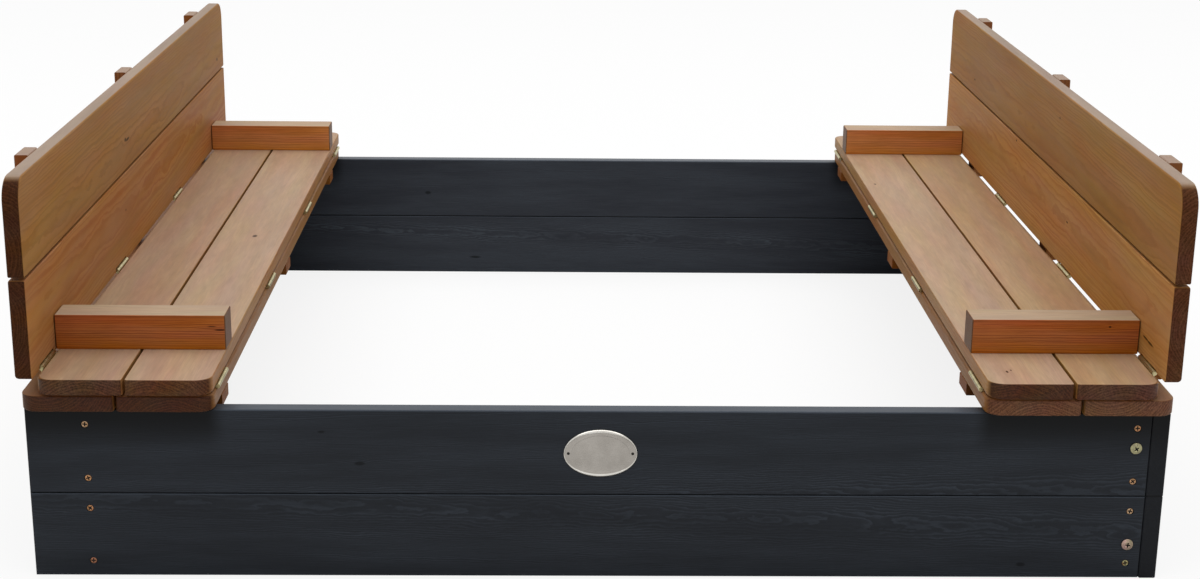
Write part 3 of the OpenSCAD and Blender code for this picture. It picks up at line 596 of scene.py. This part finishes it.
# Brown wood stain on planed pine, a thin film that the rings show through: warm and satin. Its level faces
# take these colours as painted light, by so much: a painted sheen, darker as painted shade where the seat
# lies over them; the ends have drunk more stain.
BASE_LEVEL_LIGHT = {"left_outer": ("#85593a", 0.6), "right_outer": ("#9a7454", 0.65),
            "left_inner": ("#8a6446", 0.6), "right_inner": ("#8a6446", 0.6)}
for outer, side in enumerate(("left", "right")):
    ends = ("#2b150a", "#4f2e1a") if side == "left" else ("#432617", "#78523a")
    for part, pith, wide in (("inner", (9, 0, -34), 1 - outer), ("outer", (-16, 0, 40), outer)):
        node = f"{side}_base_{part}_plank"
        material = wood("brown_stained_pine_" + node, node, 1, pith, early="#8a6036", late="#774f27",
                        end=ends, tilt=(0.006, 0, 0.004), painted_level_light=BASE_LEVEL_LIGHT[f"{side}_{part}"])
        board(f"{side}_base_{part}_board", node, "box", material, thick=2, across=0, corners=ROUNDED[wide],
              edges=BASE_EDGES[f"{side}_{part}"], holes=holes_in(node, "base_screws"))
fasten("base_screw_heads", wall_screw, screw_places("base_screws"), (yellow_zinc, recess_dirt_and_shade), "box",
       "base_screws")


# ---- Base battens ----
# Three laths across the underside of each base hold its two planks together. They are
# stained like the benches and screwed on from below.

# the same brown stain on rougher laths, which it makes darker and more matt; their level faces take a
# painted sheen
for side, out in (("left", -1), ("right", 1)):
    node = side + "_base_battens"
    nodes[node].material_slots[0].material = wood(
        "brown_stained_lath_" + node, node, 0, (0, 22 * out, -30), early="#7c4a22", late="#683c1a",
        end=("#6a3c1c", "#8a5a34"), sway=2.0, wave=90, gloss=0.05, painted_level_light=("#80583c", 0.5))
fasten("base_batten_screw_heads", wall_screw, screw_places("base_batten_screws"),
       (yellow_zinc, recess_dirt_and_shade), "box", "base_batten_screws")


# ---- Fold hinges ----
# Four small butt hinges on each side join base and seat at their inner edges. Brass-plated
# steel leaves with five rolled knuckles, a riveted pin and two small screws in each leaf.

# thin brass plating on rolled steel strip: pale yellow, smooth, with fine wear
brass = metal("brass_plated_steel", "#c4ba90", "#a39a70", rough=0.33, spots=2.0)
leaf_screw = screw_head("small_leaf_screw", [(1.6, 0.08), (1.85, 0.0), (1.85, -0.4)], arm=1.05,
                        slit=0.26, deep=0.07, steps=20)
# thickness of a leaf, in metres
LEAF_THICK = 0.001


def leaf_screws(name, node, body, normal, surface, along):
    """Two screws in each leaf of a CAD node, on the face with this normal and at this height, in
    metres; along gives the axis of the other place across the leaf, and that place."""
    axis = max(range(3), key=lambda k: abs(normal[k]))
    upright = Vector(normal).to_track_quat("Z", "Y").to_matrix().to_4x4()
    places = []
    for i, points in enumerate(shapes_of(node)):
        low = Vector(map(min, zip(*points)))
        high = Vector(map(max, zip(*points)))
        # a fifth of the leaf in from each end, each turned to another angle
        for j, share in enumerate((0.2, 0.8)):
            spot = low.lerp(high, share)
            spot[along[0]] = along[1]
            spot[axis] = surface
            spin = Matrix.Rotation((i * 5 + j * 3) * 0.53, 4, "Z")
            places.append(Matrix.Translation(spot) @ upright @ spin)
    return fasten(name, leaf_screw, places, (brass, recess_dirt_and_shade), body)


for side, out in (("left", -1), ("right", 1)):
    for node in (side + "_fold_base_leaves", side + "_fold_seat_leaves", side + "_fold_pins"):
        nodes[node].material_slots[0].material = brass
    plank_low, plank_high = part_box(side + "_base_inner_plank")
    seat_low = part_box(side + "_seat_inner_plank")[0]
    # the screws sit 12.5 mm in from the edge
    middle = out * (min(abs(plank_low.x), abs(plank_high.x)) + 0.0125)
    leaf_screws(side + "_base_leaf_screws", side + "_fold_base_leaves", "box", (0, 0, 1),
                plank_high.z + LEAF_THICK, (0, middle))
    leaf_screws(side + "_seat_leaf_screws", side + "_fold_seat_leaves", side + "_seat", (0, 0, -1),
                seat_low.z - LEAF_THICK, (0, middle))


# ---- Seat planks ----
# Two planks form each seat, of the same stained softwood as the base, a little longer.
# The armrests hold them together, screwed on from below.

SEAT_KNOTS = {
    "left_seat_inner_plank": (((3.7, -31.5, 6.75), 2.6, 1.8, 0.9),),
    "right_seat_inner_plank": (((-14, -455, 6.75), 1.0, 2.6, 0), ((-10, -451, 6.75), 0.8, 2.0, 0),
                               ((-22.5, 218, 6.75), 1.5, 2.2, 0.4))}
# rounder where the hinge barrels are: inner edge below, outer edge above
SEAT_EDGES = {"left_outer": (1.2, 2.5, 0.6, 0.6), "right_outer": (0.6, 0.6, 1.2, 2.5),
              "left_inner": (0.6, 0.6, 2.5, 1.2), "right_inner": (2.5, 1.2, 0.6, 0.6)}
# The seats' level faces take a painted sheen of light greyish beige, the bright surroundings seen at a
# grazing angle:
# the two tones of the end grain, then that beige.
SEAT_TONES = {"left_outer": (("#2e1809", "#5e3e28"), "#a98e79"),
              "left_inner": (("#341a09", "#623f24"), "#ae9681"),
              "right_outer": (("#341b0f", "#5f3e2d"), "#b59779"),
              "right_inner": (("#2c1509", "#54341e"), "#b49b84")}
for outer, side in enumerate(("left", "right")):
    for part, pith, wide in (("inner", (-8, 0, -30), 1 - outer), ("outer", (14, 0, -46), outer)):
        node = f"{side}_seat_{part}_plank"
        ends, level_light = SEAT_TONES[f"{side}_{part}"]
        material = wood("brown_stained_pine_" + node, node, 1, pith, early="#9a7044", late="#86592f",
                        end=ends, sway=4.0, tilt=(0.005, 0, -0.004), fibre=0.24, mottle=0.24, figure=0.13,
                        drift=0.012, painted_level_light=(level_light, 0.68), knots=SEAT_KNOTS.get(node, ()))
        board(f"{side}_seat_{part}_board", node, side + "_seat", material, thick=2, across=0,
              corners=ROUNDED[wide], edges=SEAT_EDGES[f"{side}_{part}"],
              holes=holes_in(node, side + "_seat_screws"), side=-1)


# ---- Armrests ----
# A square lath across each end of a seat is its armrest. It also stops the backrest from
# folding in. Two screws from below hold it on each plank pair.

ARM_KNOTS = {"left_front_armrest": (((67, -15.25, 2.5), 0.8, 7.0, 0.3), ((60, -15.25, 5.5), 0.6, 8.0, 0.2)),
             "right_front_armrest": (((47, -15.25, 9.3), 1.0, 1.5, 0.4),)}
ARM_REACH = 1.6
# Heartwood laths in the same stain: their upright faces have kept a reddish orange, the rear pair paler,
# and their tops take a painted beige sheen.
ARM_TONES = {"front": ("#ac6128", "#7c3d14"), "rear": ("#c47c40", "#955523")}
for side in ("left", "right"):
    # the laths stand out a little past the outer edge of the seat
    reach = (ARM_REACH, 0) if side == "left" else (0, ARM_REACH)
    for place, (early, late) in ARM_TONES.items():
        node = f"{side}_{place}_armrest"
        material = wood("brown_stained_lath_" + node, node, 0, (0, 6, -70), early=early, late=late,
                        end=("#54351d", "#6c482a"), ring=2.0, sway=2.2, wave=80, fibre=0.34, mottle=0.16,
                        figure=0.12, drift=0.01, painted_level_light=("#afa087", 0.75), knots=ARM_KNOTS.get(node, ()))
        board(f"{side}_{place}_arm_lath", node, side + "_seat", material, thick=2, across=1,
              corners=(1.4,) * 4, edges=(0.9,) * 4, grow=reach, slot="back_wood")
    fasten(side + "_seat_screw_heads", wall_screw, screw_places(side + "_seat_screws"),
           (yellow_zinc, recess_dirt_and_shade), side + "_seat", side + "_seat_screws")


# ---- Back hinges ----
# Four narrow hinges on each side, of the same brass-plated steel, sit on the edges of seat
# and backrest. Only their knuckles show between the two while the bench is up.

for side, out in (("left", -1), ("right", 1)):
    for node in (side + "_back_seat_leaves", side + "_back_pins", side + "_back_leaves"):
        nodes[node].material_slots[0].material = brass
    seat_low, seat_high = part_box(side + "_seat_outer_plank")
    back_low, back_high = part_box(side + "_back_lower_plank")
    face = seat_high.x if out > 0 else seat_low.x
    leaf_screws(side + "_edge_leaf_screws", side + "_back_seat_leaves", side + "_seat", (out, 0, 0),
                face + out * LEAF_THICK, (2, (seat_low.z + seat_high.z) / 2 - LEAF_THICK))
    leaf_screws(side + "_back_leaf_screws", side + "_back_leaves", side + "_backrest", (0, 0, -1),
                back_low.z - LEAF_THICK, (0, (back_low.x + back_high.x) / 2))


# ---- Backrest planks ----
# Two planks form each backrest, oiled a deeper brown than the seats, with the two upper
# corners sawn to a wide curve. The battens behind hold them together.

BACK_KNOTS = {
    "left_back_upper_plank": (((6.75, -86, -13), 1.5, 6.0, 0.8), ((6.75, -96, -11.5), 2.0, 2.0, 0.3),
                              ((6.75, 440, -25), 2.0, 2.0, 0.3)),
    "left_back_lower_plank": (((6.75, -111, 5), 1.1, 1.8, 0.3),),
    "right_back_upper_plank": (((-6.75, -83, 14.4), 0.9, 3.0, 0.3), ((-6.75, 330, -23), 1.0, 3.0, 0.3)),
    "right_back_lower_plank": (((-6.75, -423, -22.5), 1.2, 8.0, 0.2), ((-6.75, -437, -23), 1.3, 8.0, 0),
                               ((-6.75, 95, 37), 1.0, 3.0, 0.3), ((-6.75, -141, 6), 1.0, 4.0, 0.3))}
# Oil over brown stain on planed pine, soaked in and quite matt: golden brown, clouded where more oil was
# taken up. Each board's light colour is painted light on its level faces: a painted sheen on the upper
# edges, muted on the lower board.
BACK_TONES = {"left_lower": ("#a47344", "#956036"), "right_lower": ("#ae7e4a", "#9d6a3b"),
              "left_upper": ("#986d3d", "#885f33"), "right_upper": ("#986d3d", "#885f33")}
BACK_ENDS = {"left": ("#2e180a", "#4c2d1a"), "right": ("#3a2010", "#5e3a26")}
HOUSING = 46
for side, out, foot, foot_edges in (("left", -1, 2.1, (3.2, 0.25)), ("right", 1, 0.4, (0.7, 3.2))):
    # the lower board reaches down between the hinges, which sit in shallow housings in its edge
    housings = []
    for points in shapes_of(side + "_back_leaves"):
        lengthwise = [point.y * 1000 for point in points]
        middle = (min(lengthwise) + max(lengthwise)) / 2
        housings.append((middle - HOUSING / 2, middle + HOUSING / 2))
    for part, pith, level_light, shape in (
            ("lower", (34 * out, 0, 12), ("#7c5230", 0.4),
             dict(corners=(4, 4, 2.8, 2.8), edges=(*foot_edges, 1.0, 1.0), foot=foot, notches=housings)),
            ("upper", (28 * out, 0, -14), ("#978679", 0.9),
             dict(corners=(2.8, 2.8, 20, 20), edges=(1.0, 1.0, 1.8, 1.8)))):
        node = f"{side}_back_{part}_plank"
        early, late = BACK_TONES[f"{side}_{part}"]
        material = wood("brown_oiled_pine_" + node, node, 1, pith, early=early, late=late,
                        end=BACK_ENDS[side], ring=2.5, sway=4.0, tilt=(0.006, 0, 0.005), gloss=0.03,
                        fibre=0.16, mottle=0.3, figure=0.07, painted_level_light=level_light, knots=BACK_KNOTS.get(node, ()))
        board(f"{side}_back_{part}_board", node, side + "_backrest", material, thick=0, across=2, tip=2.0,
              slot="back_wood", **shape)


# ---- Back battens ----
# Three laths behind each backrest join its planks, screwed on from behind. Their lower ends
# reach below the planks and bear on the edge of the base, which stops the backrest.

# the same brown stain as on the base battens, with ends greyed by the weather
for side, out in (("left", -1), ("right", 1)):
    node = side + "_back_battens"
    nodes[node].material_slots[0].material = wood(
        "brown_stained_lath_" + node, node, 2, (20 * out, 8, 0), early="#7c4a22", late="#653717",
        end=("#8c7462", "#9c8472"), sway=2.0, wave=90)
    fasten(side + "_back_screw_heads", wall_screw, screw_places(side + "_back_screws"),
           (yellow_zinc, recess_dirt_and_shade), side + "_backrest", side + "_back_screws")


# ---- Floor, light and camera ----
# A pale studio floor under a wide soft overhead light, in white surroundings.

bm = bmesh.new()
bmesh.ops.create_grid(bm, x_segments=2, y_segments=2, size=30)
mesh = bpy.data.meshes.new("floor")
bm.to_mesh(mesh)
bm.free()
floor = bpy.data.objects.new("floor", mesh)
scene.collection.objects.link(floor)
paint = bpy.data.materials.new("pale_studio_floor")
paint.use_nodes = True
tree = paint.node_tree
tree.nodes.clear()
matt = add(tree, "BsdfDiffuse", {"Color": (0.9, 0.9, 0.9, 1)})
bright = add(tree, "Emission", {"Color": (1, 1, 1, 1), "Strength": 1.0})
path = add(tree, "LightPath", {})
share = add(tree, "MapRange", {"Value": path.outputs["Is Camera Ray"], "To Min": 0.0, "To Max": 0.84})
shader = add(tree, "MixShader", {0: share.outputs[0], 1: matt.outputs[0], 2: bright.outputs[0]})
add(tree, "OutputMaterial", {"Surface": shader.outputs[0]})
mesh.materials.append(paint)

world = bpy.data.worlds.new("white_surroundings")
scene.world = world
world.use_nodes = True
tree = world.node_tree
tree.nodes.clear()
path = add(tree, "LightPath", {})
seen = path.outputs["Is Camera Ray"]
for ray in ("Is Glossy Ray", "Is Transmission Ray"):
    seen = add(tree, "Math", {0: seen, 1: path.outputs[ray]}, operation="MAXIMUM").outputs[0]
strength = add(tree, "MapRange", {"Value": seen, "To Min": 0.6, "To Max": 1.0})
back = add(tree, "Background", {"Color": (1, 1, 1, 1), "Strength": strength.outputs[0]})
add(tree, "OutputWorld", {"Surface": back.outputs[0]})

lamp = bpy.data.lights.new("overhead_softbox", "AREA")
lamp.shape, lamp.size, lamp.energy = "SQUARE", 5.0, 110
light = bpy.data.objects.new("overhead_softbox", lamp)
light.location = (0, 0, 3.4)
scene.collection.objects.link(light)

scene.view_settings.view_transform = "Standard"
camera = bpy.data.cameras.new("camera")
camera.sensor_width, camera.lens = 36.0, 59.3098
camera.clip_start, camera.clip_end = 0.05, 100
eye = bpy.data.objects.new("camera", camera)
yaw, pitch, roll = 0.0214213, 0.288007, -0.0115679
ahead = Vector((math.sin(yaw) * math.cos(pitch), math.cos(yaw) * math.cos(pitch), -math.sin(pitch)))
right = ahead.cross(Vector((0, 0, 1))).normalized()
down = ahead.cross(right)
across = right * math.cos(roll) + down * math.sin(roll)
up = right * math.sin(roll) - down * math.cos(roll)
turned = Matrix((across, up, -ahead)).transposed().to_4x4()
eye.matrix_world = Matrix.Translation((-0.0349705, -2.0144557, 0.7101845)) @ turned
scene.collection.objects.link(eye)
scene.camera = eye


# ---- Update the scene ----

bpy.context.view_layer.update()
